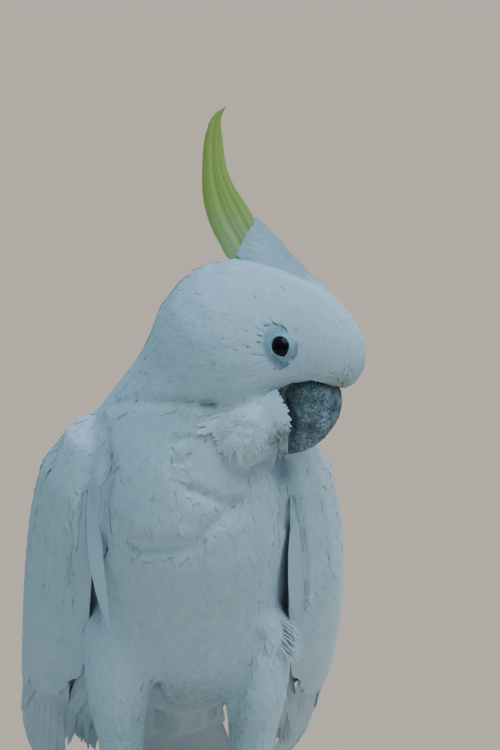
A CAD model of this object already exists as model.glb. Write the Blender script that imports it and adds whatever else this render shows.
import math
from itertools import product
import bpy
import numpy as np
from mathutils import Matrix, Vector
from mathutils.bvhtree import BVHTree


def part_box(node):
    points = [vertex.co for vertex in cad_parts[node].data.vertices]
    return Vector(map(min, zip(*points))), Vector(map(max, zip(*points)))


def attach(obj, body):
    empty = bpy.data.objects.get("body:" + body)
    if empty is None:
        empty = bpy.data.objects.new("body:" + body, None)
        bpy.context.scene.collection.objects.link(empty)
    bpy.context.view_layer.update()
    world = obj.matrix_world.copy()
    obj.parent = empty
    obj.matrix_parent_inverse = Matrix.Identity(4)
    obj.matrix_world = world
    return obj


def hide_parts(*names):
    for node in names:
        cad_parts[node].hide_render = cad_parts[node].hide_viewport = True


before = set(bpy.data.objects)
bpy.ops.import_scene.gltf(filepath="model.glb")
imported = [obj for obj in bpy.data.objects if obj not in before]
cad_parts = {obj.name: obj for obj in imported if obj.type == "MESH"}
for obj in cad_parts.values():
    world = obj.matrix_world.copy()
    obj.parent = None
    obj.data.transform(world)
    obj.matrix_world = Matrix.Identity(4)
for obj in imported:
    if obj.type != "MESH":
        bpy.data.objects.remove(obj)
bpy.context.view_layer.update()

# ---- Viewpoint ------------------------------------------------------------------------------
# The bird is seen level with its throat, from a little to its right of straight ahead,
# through a long lens. Work is done in millimetres from the ground under the bird's middle.

MM = 0.001


def middle_of(node):
    low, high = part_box(node)
    return (np.array(low) + np.array(high)) / 2


HEAD_PLACE = np.array([44.5, -64.0, 239.0])  # midway between the eyes
GROUND = (middle_of("eye_right") + middle_of("eye_left")) / 2 - HEAD_PLACE * MM

CAMERA_TURN = math.radians(-4)
CAMERA_ASIDE, CAMERA_AWAY, CAMERA_UP = 30, 2600, 226
CAMERA_SEES = 357.1  # height of the view, at the bird's middle
SENSOR = 36
rightward = np.array([math.cos(CAMERA_TURN), math.sin(CAMERA_TURN), 0])
onward = np.array([-math.sin(CAMERA_TURN), math.cos(CAMERA_TURN), 0])
upward = np.array([0, 0, 1])
camera_lens = bpy.data.cameras.new("camera")
camera_lens.sensor_width = SENSOR
camera_lens.lens = SENSOR * CAMERA_AWAY / CAMERA_SEES
camera = bpy.data.objects.new("camera", camera_lens)
camera.location = GROUND + (rightward * CAMERA_ASIDE + upward * CAMERA_UP - onward * CAMERA_AWAY) * MM
camera.rotation_euler = (math.radians(90), 0, CAMERA_TURN)
bpy.context.collection.objects.link(camera)
bpy.context.scene.camera = camera

# ---- Skin -----------------------------------------------------------------------------------
# One pale skin covers head, neck, trunk, thighs and the arms of the wings. It lies under the
# plumage by the coat's depth and comes to the surface as a bare wrinkled ring at each eye.

HEAD_TURN, HEAD_NOD = math.radians(-19), math.radians(26)
turned = np.array([[math.cos(HEAD_TURN), -math.sin(HEAD_TURN), 0],
                   [math.sin(HEAD_TURN), math.cos(HEAD_TURN), 0],
                   [0, 0, 1]])
nodded = np.array([[math.cos(HEAD_NOD), 0, math.sin(HEAD_NOD)],
                   [0, 1, 0],
                   [-math.sin(HEAD_NOD), 0, math.cos(HEAD_NOD)]])
HEAD_AXES = turned @ nodded  # its columns point to the head's front, left and top


def in_head(points):
    return HEAD_PLACE + np.asarray(points, float) @ HEAD_AXES.T


def unit(vectors):
    return vectors / np.maximum(np.linalg.norm(vectors, axis=-1, keepdims=True), 1e-9)


def ramp(low, high, value):
    share = np.clip((value - low) / (high - low), 0, 1)
    return share * share * (3 - 2 * share)


def alone(piece):
    bpy.ops.object.select_all(action="DESELECT")
    piece.select_set(True)
    bpy.context.view_layer.objects.active = piece


def piece_of(name, points, faces):
    """A mesh object from places in millimetres and faces of one size."""
    mesh = bpy.data.meshes.new(name)
    faces = np.asarray(faces)
    mesh.vertices.add(len(points))
    mesh.vertices.foreach_set("co", (np.asarray(points) * MM + GROUND).ravel())
    mesh.loops.add(faces.size)
    mesh.loops.foreach_set("vertex_index", faces.ravel())
    mesh.polygons.add(len(faces))
    mesh.polygons.foreach_set("loop_start", np.arange(0, faces.size, faces.shape[1]))
    mesh.update(calc_edges=True)
    piece = bpy.data.objects.new(name, mesh)
    bpy.context.collection.objects.link(piece)
    return piece


def merged_copy(name, nodes):
    """One new object from copies of CAD nodes, with their corners merged."""
    bpy.ops.object.select_all(action="DESELECT")
    copies = []
    for node_name in nodes:
        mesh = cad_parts[node_name].data.copy()
        mesh.materials.clear()
        copies.append(bpy.data.objects.new(name, mesh))
        bpy.context.collection.objects.link(copies[-1])
        copies[-1].select_set(True)
    bpy.context.view_layer.objects.active = copies[0]
    if len(copies) > 1:
        bpy.ops.object.join()
    bpy.ops.object.mode_set(mode="EDIT")
    bpy.ops.mesh.select_all(action="SELECT")
    bpy.ops.mesh.remove_doubles(threshold=1e-6)
    bpy.ops.object.mode_set(mode="OBJECT")
    copies[0].data.name = name
    return copies[0]


def shaped(piece, kind, **settings):
    """Adds a modifier to a piece and applies it."""
    alone(piece)
    modifier = piece.modifiers.new(kind, kind)
    for name, value in settings.items():
        setattr(modifier, name, value)
    bpy.ops.object.modifier_apply(modifier=modifier.name)


def joined(pieces):
    alone(pieces[0])
    for piece in pieces[1:]:
        piece.select_set(True)
    bpy.ops.object.join()
    return pieces[0]


def values_of(items, field, per=3, kind=float):
    """One property of a mesh's points, faces or corners, with a row for each."""
    values = np.empty(len(items) * per, kind)
    items.foreach_get(field, values)
    return values.reshape(-1, per)


def places_of(piece):
    return (values_of(piece.data.vertices, "co") - GROUND) / MM


def normals_of(piece):
    return values_of(piece.data.vertices, "normal")


def move_to(piece, places):
    piece.data.vertices.foreach_set("co", (places * MM + GROUND).ravel())
    piece.data.update()


def triangles_of(piece, corners="vertices"):
    piece.data.calc_loop_triangles()
    return values_of(piece.data.loop_triangles, corners, kind=np.int32)


def keep_on(piece, name, values):
    """Keeps a number at each point of a piece, for its material to read."""
    piece.data.attributes.new(name, "FLOAT", "POINT").data.foreach_set("value", values.astype(np.float32))


# Folds where the plumage parts over the crop, the breast and the thighs: (x, z) places down
# the front, then how deep and how wide each is.
FOLDS = [
    ([(-37, 211.5), (-29, 214), (-18, 213), (-8, 213), (1, 211.5), (8, 212)], 1.3, 2.2),
    ([(2, 212.4), (8, 211.6)], 1.8, 1.4),
    ([(-44, 208), (-41.6, 200), (-40.3, 188)], 1.4, 2.0),
    ([(-40.3, 188), (-41.4, 178), (-42.8, 171), (-42.4, 158), (-42, 144)], 3.6, 1.9),
    ([(41, 199), (42.5, 185), (43.5, 172), (44, 156)], 4.0, 2.6),
    ([(-2, 172.5), (3, 170.5), (10, 167.5), (15.5, 166), (22, 167.5)], 2.8, 2.8),
    ([(-29, 145), (-21, 144), (-10, 144.5), (-2, 145.5), (4, 153), (10.5, 158), (20, 164.5)], 3.2, 3.4),
    ([(34, 101), (27, 87), (22, 74), (17, 60)], 4.6, 3.6),
    ([(-14, 76), (-11, 62), (-10, 48)], 4.4, 3.6),
    ([(34, 94), (40, 91), (44, 95)], 1.4, 1.6),
    ([(17, 203), (21, 201.5), (25, 201)], 1.0, 1.5),
    ([(17, 199), (20, 197), (25, 196.5)], 0.9, 1.4),
    ([(41, 206), (41.5, 199), (41, 193)], 1.1, 1.6),
    ([(-12, 195), (-4, 196.5)], 1.6, 1.5),
    ([(-12, 186), (-7, 185.5), (-3, 188)], 1.6, 1.5),
    ([(-12, 180.5), (-5, 179.5)], 1.6, 1.4),
    ([(-11, 175), (-4, 173.5)], 1.5, 1.4),
]

# Where the nape's plumage bunches up as the head bows: the middle, how wide and how high.
RUFFS = [(in_head([-57, 0, 11]), 9.0, 2.6),
         (in_head([-63, 0, -9]), 9.0, 2.2),
         (in_head([-48, 0, 22]), 7.0, 1.1)]


def ruffed(places):
    return sum(high * np.exp(-(np.linalg.norm(places - middle, axis=1) / wide) ** 2)
               for middle, wide, high in RUFFS)


def with_folds(places, normals):
    """Raises the ruffs and sinks the folds, which show only where the plumage faces forward."""
    sunk = np.zeros(len(places))
    flat = places[:, [0, 2]]
    for line, depth, width in FOLDS:
        nearest = np.full(len(places), 1e9)
        for start, stop in zip(np.array(line[:-1], float), np.array(line[1:], float)):
            run = stop - start
            share = np.clip(((flat - start) @ run) / (run @ run), 0, 1)
            nearest = np.minimum(nearest, np.linalg.norm(flat - start - share[:, None] * run, axis=1))
        sunk += depth * np.exp(-(nearest / width) ** 2)
    return places + normals * (ruffed(places) - sunk * ramp(0.1, 0.35, -normals[:, 1]))[:, None]


def along(stations, place):
    """Values read off [[place, value], ...] on a smooth line through them."""
    at, value = np.array(stations, float).T
    place = np.clip(place, at[0], at[-1])
    nxt = np.clip(np.searchsorted(at, place, side="right"), 1, len(at) - 1)
    low, high = np.maximum(nxt - 2, 0), np.minimum(nxt + 1, len(at) - 1)
    span = at[nxt] - at[nxt - 1]
    t = (place - at[nxt - 1]) / span
    leave = (value[nxt] - value[low]) / (at[nxt] - at[low]) * span
    arrive = (value[high] - value[nxt - 1]) / (at[high] - at[nxt - 1]) * span
    return (value[nxt - 1] * (1 + 2 * t) * (1 - t) ** 2 + leave * t * (1 - t) ** 2
            + value[nxt] * t ** 2 * (3 - 2 * t) + arrive * t ** 2 * (t - 1))


# The folded wing, by share of its length: how far out its face lies on each side, how far it
# spans above and below its middle line, how far those two edges curl in, and its thickness.
WING_LENGTH = 305
WING_LINE = np.array([[0, -34, 199], [0, 62, 86], [0, 206, 18]], float)
WING_REACH = {
    1: [[0, 56], [.06, 66], [.18, 74], [.35, 78], [.5, 77], [.62, 74], [.78, 70], [1, 52]],
    -1: [[0, 58], [.06, 69], [.18, 74.5], [.35, 76.5], [.62, 76], [.78, 75], [1, 60]],
}
WING_RISE = [[0, 16], [.1, 30], [.3, 37], [.5, 28], [.7, 18], [1, 6]]
WING_DROP = [[0, 12], [.1, 28], [.35, 42], [.55, 36], [.8, 18], [1, 6]]
WING_TUCK = [[0, 14], [.1, 34], [.3, 53], [.5, 50], [.7, 30], [1, 8]]
WING_HANG = [[0, 12], [.1, 19], [.3, 22.6], [.6, 20.5], [.8, 18], [1, 6]]
WING_THICK = [[0, 14], [.2, 18], [.4, 10], [.6, 4]]


def bend_of(line, share):
    share = np.clip(share, 0, 1)[..., None]
    return (1 - share) ** 2 * line[0] + 2 * share * (1 - share) * line[1] + share ** 2 * line[2]


def heading_of(line, share):
    share = np.clip(share, 0, 1)[..., None]
    return unit((1 - share) * (line[1] - line[0]) + share * (line[2] - line[1]))


def on_wing(side, length, across, height):
    """Places on a folded wing, by the way along it, the way up from its middle line and out."""
    length, across, height = np.broadcast_arrays(*(np.asarray(v, float) for v in (length, across, height)))
    share = length / WING_LENGTH
    heading = heading_of(WING_LINE, share)
    place = bend_of(WING_LINE, share) + heading * np.minimum(length, 0)[..., None]
    upward = np.stack([np.zeros_like(share), -heading[..., 2], heading[..., 1]], axis=-1)
    above = across > 0
    edge = np.minimum(1.2, np.abs(across) / np.where(above, along(WING_RISE, share), along(WING_DROP, share)))
    curl = np.where(above, along(WING_TUCK, share), along(WING_HANG, share)) * edge ** 2.2
    place = place + upward * across[..., None]
    place[..., 0] = side * (along(WING_REACH[side], share) - curl + height)
    return place


def wing_front(word, length):
    """The fore part of a folded wing, cut square across its feathers."""
    front = merged_copy(f"wing_front_{word}", [f"wing_{word}"])
    share = np.array([length / WING_LENGTH])
    bpy.ops.object.mode_set(mode="EDIT")
    bpy.ops.mesh.select_all(action="SELECT")
    bpy.ops.mesh.bisect(plane_co=bend_of(WING_LINE, share)[0] * MM + GROUND,
                        plane_no=heading_of(WING_LINE, share)[0], use_fill=True, clear_outer=True)
    bpy.ops.object.mode_set(mode="OBJECT")
    return front


# The closed outer form of the plumage, which the contour feathers are laid on: head, body,
# thighs and the shoulders of the wings. Where the thighs grow from the flanks it is smoothed more.
FLESH = ["head", "neck", "trunk", "thigh_right", "thigh_left"]
VOXEL = 1.6
SHOULDER_LENGTH = 84
THIGH_ROOT, THIGH_FOOT = (118, 96), (34, 46)  # heights that the extra smoothing fades in over
form = joined([merged_copy("plumage_form", FLESH + ["eye_right", "eye_left"]),
               wing_front("left", SHOULDER_LENGTH), wing_front("right", SHOULDER_LENGTH)])
shaped(form, "DISPLACE", strength=0.3 * MM, mid_level=0)  # closes the cuts between the nodes
shaped(form, "REMESH", mode="VOXEL", voxel_size=VOXEL * MM)
shaped(form, "SMOOTH", factor=0.5, iterations=12)
low = ramp(*THIGH_ROOT, places_of(form)[:, 2]) * ramp(*THIGH_FOOT, places_of(form)[:, 2])
group = form.vertex_groups.new(name="low")
for step in range(1, 11):
    chosen = np.flatnonzero(np.round(low * 10) == step)
    group.add(chosen.tolist(), step / 10, "REPLACE")
shaped(form, "SMOOTH", factor=0.5, iterations=40, vertex_group="low")
form_places = with_folds(places_of(form), normals_of(form))
move_to(form, form_places)
form_normals = normals_of(form)
form_faces = triangles_of(form)

EYE_RADIUS = 7.0
EYE_SHIFT = np.array([2.0, 0, 1.0])  # the lids open a little before and above the socket's middle
EYES = {side: (middle_of(f"eye_{side}") - GROUND) / MM + HEAD_AXES @ EYE_SHIFT
        for side in ("right", "left")}
RING_LONG, RING_WIDE = 10.6, 7.6  # half the bare ring, along and across the lids


def out_of_head(side):
    return HEAD_AXES[:, 1] * (1 if side == "left" else -1)


def eye_plane(places, side):
    """Places about an eye: along the lids towards the bill, across them, and outward."""
    local = (places - EYES[side]) @ HEAD_AXES
    along_lids = (local[:, 0] - local[:, 2]) / math.sqrt(2)
    across_lids = (local[:, 0] + local[:, 2]) / math.sqrt(2)
    return along_lids, across_lids, local[:, 1] * (1 if side == "left" else -1)


def bareness(places):
    """How far inside the bare ring of either eye a place is: 1 in it, 0 outside."""
    bare = np.zeros(len(places))
    for side in EYES:
        along_lids, across_lids, out = eye_plane(places, side)
        reach = np.hypot(along_lids / RING_LONG, across_lids / RING_WIDE)
        bare = np.maximum(bare, np.where(out > -2, 1 - ramp(0.86, 1.12, reach), 0))
    return bare


FACE = in_head([14, 0, -4])
COAT_AT_FACE, COAT_GAINS, COAT_AT_EYE = 1.0, 1.4, 0.35


def coat_depth(places):
    """How deep the skin lies under the plumage's form."""
    from_face = np.linalg.norm(places - FACE, axis=1)
    bare = bareness(places)
    return (COAT_AT_FACE + COAT_GAINS * ramp(24, 75, from_face)) * (1 - bare) + COAT_AT_EYE * bare


def wing_arm(side):
    """The flesh of the arm, from the shoulder to the hand, inside the wing's feathers."""
    rings = []
    sweep = np.concatenate([np.linspace(-1, 1, 9), np.linspace(1, -1, 9)[1:-1]])
    outside = np.arange(len(sweep)) < 9
    for share in np.linspace(0.0, 0.5, 12):
        reach = np.where(sweep > 0, along(WING_RISE, share), along(WING_DROP, share)) * 0.84
        inner = -2.6 - (along(WING_THICK, share) - 3.5) * np.sqrt(np.maximum(0, 1 - sweep ** 2))
        rings.append(on_wing(side, share * WING_LENGTH + 30 * sweep * share, sweep * reach,
                             np.where(outside, -2.4, inner)))
    points = np.concatenate(rings)
    count = len(sweep)
    faces = [(k * count + i, k * count + (i + 1) % count, (k + 1) * count + (i + 1) % count,
              (k + 1) * count + i) for k in range(len(rings) - 1) for i in range(count)]
    arm = piece_of("arm", points, faces)
    alone(arm)
    bpy.ops.object.mode_set(mode="EDIT")
    bpy.ops.mesh.select_mode(type="EDGE")
    bpy.ops.mesh.select_all(action="DESELECT")
    bpy.ops.mesh.select_non_manifold()
    bpy.ops.mesh.edge_face_add()
    bpy.ops.mesh.select_all(action="SELECT")
    bpy.ops.mesh.fill_holes(sides=0)
    bpy.ops.mesh.normals_make_consistent(inside=False)
    bpy.ops.object.mode_set(mode="OBJECT")
    return arm


SHOULDER_PLACE, SHOULDER_RADII = (46, -6, 168), (15, 15, 20)


def shoulder(side):
    x, y, z = SHOULDER_PLACE
    bpy.ops.mesh.primitive_uv_sphere_add(
        segments=24, ring_count=12, radius=1, location=Vector(np.array([side * x, y, z]) * MM + GROUND),
        scale=[radius * MM for radius in SHOULDER_RADII])
    piece = bpy.context.active_object
    bpy.ops.object.transform_apply(location=True, rotation=True, scale=True)
    return piece


under = form.copy()
under.data = form.data.copy()
bpy.context.collection.objects.link(under)
move_to(under, form_places - form_normals * coat_depth(form_places)[:, None])
skin = joined([under, wing_arm(1), wing_arm(-1), shoulder(1), shoulder(-1)])
skin.name = skin.data.name = "skin"
shaped(skin, "REMESH", mode="VOXEL", voxel_size=VOXEL * MM)
shaped(skin, "SMOOTH", factor=0.5, iterations=3)

# Round each eye the skin is cut finer, then drawn up over the eyeball as lids and wrinkled.
FINE_REACH, FINE_CUTS = 14.5, 4
centres = (values_of(skin.data.polygons, "center") - GROUND) / MM
near_eye = np.zeros(len(centres), bool)
for side in EYES:
    _, _, out = eye_plane(centres, side)
    near_eye |= (np.linalg.norm(centres - EYES[side], axis=1) < FINE_REACH) & (out > 1)
alone(skin)
bpy.ops.object.mode_set(mode="EDIT")
bpy.ops.mesh.select_mode(type="FACE")
bpy.ops.mesh.select_all(action="DESELECT")
bpy.ops.object.mode_set(mode="OBJECT")
skin.data.polygons.foreach_set("select", near_eye)
bpy.ops.object.mode_set(mode="EDIT")
bpy.ops.mesh.subdivide(number_cuts=FINE_CUTS, smoothness=0)
bpy.ops.object.mode_set(mode="OBJECT")

LID_LONG, LID_WIDE, LID_HEIGHT = 5.1, 4.35, 0.26
CREASES, CREASE_HEIGHT = 4.6, 0.13  # how many for each lid's length away from the eye
CREASE_WANDER = ((0.22, 3, 1), (0.12, 8, 0), (0.07, 17, 0))  # how far, how often round, from where
SOCKET_DEPTH = 1.6
places = places_of(skin)
ring = np.full(len(places), 9.0)  # how far round the lids' edge a place is, as a multiple of it
for side in EYES:
    along_lids, across_lids, out = eye_plane(places, side)
    radius = np.hypot(along_lids, across_lids)
    wide = LID_WIDE * (1 - 0.42 * np.clip(along_lids / LID_LONG, 0, 1) ** 2)
    reach = np.hypot(along_lids / LID_LONG, across_lids / wide)
    over_ball = np.sqrt(np.maximum(0, (EYE_RADIUS + 0.5) ** 2 - radius ** 2))
    drawn = np.maximum(out, over_ball) + LID_HEIGHT * np.exp(-((reach - 1.1) / 0.08) ** 2)
    phase = reach * CREASES
    for far, times, begin in CREASE_WANDER:
        phase = phase + far * np.sin(times * np.arctan2(across_lids, along_lids) + begin)
    wave = np.cos(2 * math.pi * phase)
    drawn += CREASE_HEIGHT * wave * ramp(1.15, 1.35, reach) * (1 - ramp(1.9, 2.3, reach))
    behind = np.sqrt(np.maximum(0, EYE_RADIUS ** 2 - radius ** 2)) - SOCKET_DEPTH
    drawn = drawn + (behind - drawn) * ramp(1.0, 0.8, reach)
    near = (radius < 13.5) & (out > 0.5)
    places += np.where(near, drawn - out, 0)[:, None] * out_of_head(side)
    ring = np.where(near, reach, ring)
move_to(skin, places)
keep_on(skin, "ring", ring)
keep_on(skin, "bare", bareness(places))

alone(skin)
skin.data.uv_layers.new(name="OFBake")
bpy.ops.object.mode_set(mode="EDIT")
bpy.ops.mesh.select_all(action="SELECT")
bpy.ops.uv.smart_project(angle_limit=math.radians(72), island_margin=0.002)
bpy.ops.object.mode_set(mode="OBJECT")
bpy.ops.object.shade_smooth()


def paint(code):
    """An sRGB hex colour as linear light."""
    parts = [int(code[i:i + 2], 16) / 255 for i in (1, 3, 5)]
    return [c / 12.92 if c <= 0.04045 else ((c + 0.055) / 1.055) ** 2.4 for c in parts] + [1.0]


def node(tree, kind, inputs, out=0, **settings):
    """Adds a shader node, sets it, links or fills its inputs and gives one of its outputs."""
    made = tree.nodes.new("ShaderNode" + kind)
    for name, value in settings.items():
        setattr(made, name, value)
    for key, value in inputs.items():
        if isinstance(value, bpy.types.NodeSocket):
            tree.links.new(value, made.inputs[key])
        else:
            made.inputs[key].default_value = value
    return made.outputs[out]


def new_finish(name, **constants):
    """A material with one Principled shader, whose even properties are set on its own sockets."""
    material = bpy.data.materials.new(name)
    material.use_nodes = True
    shader = material.node_tree.nodes["Principled BSDF"]
    for key, value in constants.items():
        shader.inputs[key.replace("_", " ")].default_value = value
    return material, material.node_tree, shader


# The markings that skin and coat share, by place: a straw stain over the bill, a soiled pocket
# under the jaw, and grey-green shade on the flanks and low belly. Each is a soft ball with a
# ragged edge: its middle, its radius, its colour and how strongly it covers.
MARKS = [
    (in_head([28, -6, -4]), 9.0, "#b5a67a", 0.55),
    (in_head([28, 6, -4]), 9.0, "#b5a67a", 0.55),
    (np.array([5.0, -78.0, 212.5]), 6.0, "#a39a72", 0.45),
    (np.array([-6.0, -74.0, 213.0]), 9.0, "#b5b393", 0.35),
    (np.array([41.0, -86.0, 194.5]), 11.0, "#7d7154", 0.85),
    (np.array([44.0, 68.0, 54.0]), 26.0, "#7f8577", 0.4),
    (np.array([-44.0, 68.0, 54.0]), 26.0, "#7f8577", 0.4),
    (np.array([0.0, -14.0, 46.0]), 40.0, "#93a192", 0.7),
]
STAIN_NOISE = 420.0  # to the metre: ragged in steps of 2.4 mm


def marked(tree, colour):
    """Lays the shared markings over a colour."""
    place = node(tree, "TexCoord", {}, "Object")
    ragged = node(tree, "TexNoise", {"Vector": place, "Scale": STAIN_NOISE, "Detail": 3.0})
    for centre, radius, code, strength in MARKS:
        middle = tuple(centre * MM + GROUND)
        away = node(tree, "VectorMath", {0: place, 1: middle}, "Value", operation="DISTANCE")
        away = node(tree, "Math", {0: away, 1: 1 / (radius * MM)}, operation="MULTIPLY")
        edge = node(tree, "Math", {0: ragged, 1: 0.9, 2: -0.45}, operation="MULTIPLY_ADD")
        soft = node(tree, "Math", {0: away, 1: edge}, operation="ADD")
        cover = node(tree, "MapRange", {0: soft, 1: 0.25, 2: 1.15, 3: strength, 4: 0.0},
                     interpolation_type="SMOOTHSTEP")
        colour = node(tree, "Mix", {0: cover, 6: colour, 7: paint(code)}, 2, data_type="RGBA")
    return colour


def finished(tree, shader, colour, height, strength, depth):
    """Joins a colour and a fine relief, as deep as given in millimetres, to a shader."""
    tree.links.new(colour, shader.inputs["Base Color"])
    relief = node(tree, "Bump", {"Height": height, "Strength": strength, "Distance": depth * MM})
    tree.links.new(relief, shader.inputs["Normal"])


# Bare skin: pale, bluish, finely pitted and creased in rings about the eye, with a faint gloss.
# Scales are to the metre: pits 0.7 mm apart, tones of 4 mm, creases that stray every 3 mm.
PITS, TONES, STRAYS = 1500.0, 260.0, 320.0
FINE_CREASES = 6.5
skin_finish, tree, shader = new_finish("bare_skin", Roughness=0.55)
place = node(tree, "TexCoord", {}, "Object")
pits = node(tree, "TexVoronoi", {"Vector": place, "Scale": PITS})
tone = node(tree, "TexNoise", {"Vector": place, "Scale": TONES, "Detail": 4.0})
bluish = node(tree, "Mix", {0: tone, 6: paint("#9fc0d2"), 7: paint("#cfe0e8")}, 2, data_type="RGBA")
bare = node(tree, "Attribute", {}, "Fac", attribute_name="bare")
colour = node(tree, "Mix", {0: bare, 6: paint("#dbe6ec"), 7: bluish}, 2, data_type="RGBA")
ring = node(tree, "Attribute", {}, "Fac", attribute_name="ring")
stray = node(tree, "TexNoise", {"Vector": place, "Scale": STRAYS, "Detail": 2.0})
crease = node(tree, "Math", {0: stray, 1: 0.5, 2: ring}, operation="MULTIPLY_ADD")
crease = node(tree, "Math", {0: crease, 1: 2 * math.pi * FINE_CREASES}, operation="MULTIPLY")
crease = node(tree, "Math", {0: crease}, operation="SINE")
crease = node(tree, "MapRange", {0: crease, 1: -1.0, 2: 0.1, 3: 1.0, 4: 0.0})
crease = node(tree, "Math", {0: crease, 1: bare}, operation="MULTIPLY")
shade = node(tree, "Math", {0: crease, 1: 0.55}, operation="MULTIPLY")
colour = node(tree, "Mix", {0: shade, 6: colour, 7: paint("#6f8c9c")}, 2, data_type="RGBA")
height = node(tree, "Math", {0: pits, 1: 0.5}, operation="MULTIPLY")
height = node(tree, "Math", {0: height, 1: crease}, operation="SUBTRACT")
finished(tree, shader, marked(tree, colour), height, strength=0.6, depth=0.3)
skin.data.materials.clear()
skin.data.materials.append(skin_finish)
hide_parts(*FLESH)
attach(skin, "root")

# ---- Eyes -----------------------------------------------------------------------------------
# Each is a dark ball set deep in its socket: a near-black pupil in a dark brown iris under a
# clear wet cornea, which bulges a little past the ball.

CORNEA_BULGE, CORNEA_SPREAD = 0.35, 3.4
IRIS_STREAKS = 900.0  # to the metre: streaks of 1 mm
eye_finish, tree, shader = new_finish(
    "wet_eye", Roughness=0.3, Specular_IOR_Level=0.15, Coat_Weight=0.22, Coat_Roughness=0.02, Coat_IOR=1.38)
from_axis = node(tree, "Attribute", {}, "Fac", attribute_name="from_axis")
streaks = node(tree, "TexNoise", {"Vector": node(tree, "TexCoord", {}, "Object"), "Scale": IRIS_STREAKS})
iris = node(tree, "Mix", {0: streaks, 6: paint("#140f0c"), 7: paint("#241a14")}, 2, data_type="RGBA")
pupil = node(tree, "MapRange", {0: from_axis, 1: 2.5, 2: 2.9, 3: 1.0, 4: 0.0})
colour = node(tree, "Mix", {0: pupil, 6: iris, 7: paint("#050506")}, 2, data_type="RGBA")
tree.links.new(colour, shader.inputs["Base Color"])
for side in EYES:
    bpy.ops.object.select_all(action="DESELECT")
    bpy.ops.mesh.primitive_uv_sphere_add(
        segments=48, ring_count=32, radius=EYE_RADIUS * MM, location=Vector(EYES[side] * MM + GROUND))
    eye = bpy.context.active_object
    eye.name = eye.data.name = f"eyeball_{side}"
    bpy.ops.object.transform_apply(location=True, rotation=True, scale=True)
    bpy.ops.object.shade_smooth()
    places = places_of(eye)
    along_lids, across_lids, out = eye_plane(places, side)
    off_axis = np.hypot(along_lids, across_lids)
    bulge = CORNEA_BULGE * np.exp(-(off_axis / CORNEA_SPREAD) ** 2) * (out > 0)
    move_to(eye, places + bulge[:, None] * out_of_head(side))
    keep_on(eye, "from_axis", np.where(out > 0, off_axis, 9.0))
    eye.data.materials.append(eye_finish)
    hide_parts(f"eye_{side}")
    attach(eye, "root")

# ---- Bill -----------------------------------------------------------------------------------
# Dark grey horn with a strong hook. It flakes as it grows, and the bird's own feather powder
# and scrapes from gnawing leave it hazed with short pale marks.

# Scales are to the metre: scrapes wander over 3.4 and 1.9 mm, powder lies in drifts of 7 mm.
SCRAPES, POWDER = ((290.0, 2.0), (540.0, 1.2)), 150.0
horn_finish, tree, shader = new_finish("flaking_bill_horn")
place = node(tree, "TexCoord", {}, "Object")
lines = []
for scale, warp in SCRAPES:
    swirl = node(tree, "TexNoise", {"Vector": place, "Scale": scale, "Detail": 1.5, "Distortion": warp})
    off = node(tree, "Math", {0: swirl, 1: 0.5}, operation="SUBTRACT")
    off = node(tree, "Math", {0: off}, operation="ABSOLUTE")
    lines.append(node(tree, "MapRange", {0: off, 1: 0.015, 2: 0.075, 3: 1.0, 4: 0.0}))
scrapes = node(tree, "Math", {0: lines[0], 1: lines[1]}, operation="MAXIMUM")
scrapes = node(tree, "Math", {0: scrapes, 1: 0.8, 2: 0.2}, operation="MULTIPLY_ADD")
powder = node(tree, "TexNoise", {"Vector": place, "Scale": POWDER, "Detail": 6.0, "Roughness": 0.65})
powder = node(tree, "MapRange", {0: powder, 1: 0.38, 2: 0.66, 3: 0.2, 4: 1.0})
middle = tuple(in_head([35, -8, -27]) * MM + GROUND)  # the bill is most worn about here
worn = node(tree, "VectorMath", {0: place, 1: middle}, "Value", operation="DISTANCE")
worn = node(tree, "MapRange", {0: worn, 1: 6 * MM, 2: 26 * MM, 3: 1.0, 4: 0.4})
haze = node(tree, "Math", {0: powder, 1: worn}, operation="MULTIPLY")
haze = node(tree, "Math", {0: haze, 1: scrapes}, operation="MULTIPLY")
colour = node(tree, "Mix", {0: haze, 6: paint("#2e373d"), 7: paint("#d0dde3")}, 2, data_type="RGBA")
dull = node(tree, "Math", {0: haze, 1: 0.25, 2: 0.42}, operation="MULTIPLY_ADD")
tree.links.new(dull, shader.inputs["Roughness"])
finished(tree, shader, colour, haze, strength=0.5, depth=0.3)


def melted(name, node_name, voxel, rounds):
    """A CAD node's form in fine even faces, with its edges melted."""
    piece = merged_copy(name, [node_name])
    shaped(piece, "REMESH", mode="VOXEL", voxel_size=voxel * MM)
    shaped(piece, "SMOOTH", factor=0.5, iterations=rounds)
    return piece


FLAKE_SIZE, FLAKE_HEIGHT = 2.6, 0.35
flakes = bpy.data.textures.new("flakes", "CLOUDS")
flakes.noise_scale = FLAKE_SIZE * MM
for node_name in ("bill_upper", "bill_lower"):
    bill = melted(f"{node_name}_horn", node_name, 0.5, 14)
    shaped(bill, "DISPLACE", texture=flakes, texture_coords="LOCAL", strength=FLAKE_HEIGHT * MM,
           mid_level=0.35)
    alone(bill)
    bpy.ops.object.shade_smooth()
    bill.data.materials.append(horn_finish)
    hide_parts(node_name)
    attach(bill, "root")

# ---- Contour feathers -----------------------------------------------------------------------
# Thousands of small soft vanes overlap like shingles over the skin. They grow back from the
# bill over head and neck, fan out over the jaw, and run down breast, back and thighs.

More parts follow.
